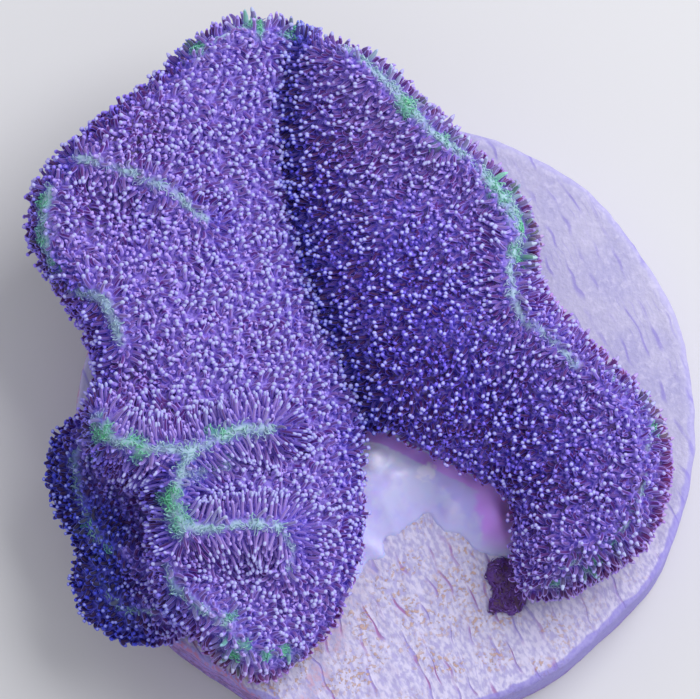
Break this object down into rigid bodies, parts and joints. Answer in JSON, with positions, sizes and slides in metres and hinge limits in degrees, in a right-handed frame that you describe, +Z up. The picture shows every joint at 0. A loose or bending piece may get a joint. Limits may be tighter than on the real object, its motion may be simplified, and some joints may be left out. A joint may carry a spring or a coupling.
{
  "type": "psammocora coral frag",
  "caption": "Folded plate of psammocora coral with short tentacles and a lower ledge, glued to a round ceramic frag disc that lies flat.",
  "frame": {"origin": "centre of the disc's flat underside", "axes": "+Z up out of the disc's top, the colony's notch opens towards -Y, and the lower ledge is on the -X side"},
  "size_m": [0.035, 0.0368, 0.0127],
  "materials": {
    "ceramic": "matt porous unglazed ceramic with fine drag marks and ochre specks",
    "cured_glue": "milky, wet-looking cured gel",
    "coral": "soft wet tissue over a stony skeleton, violet with pale tentacle tips and green crests"
  },
  "bodies": {
    "root": {"frag_disc": "ceramic", "glue_pad": "cured_glue", "coral_colony": "coral"}
  },
  "joints": []
}
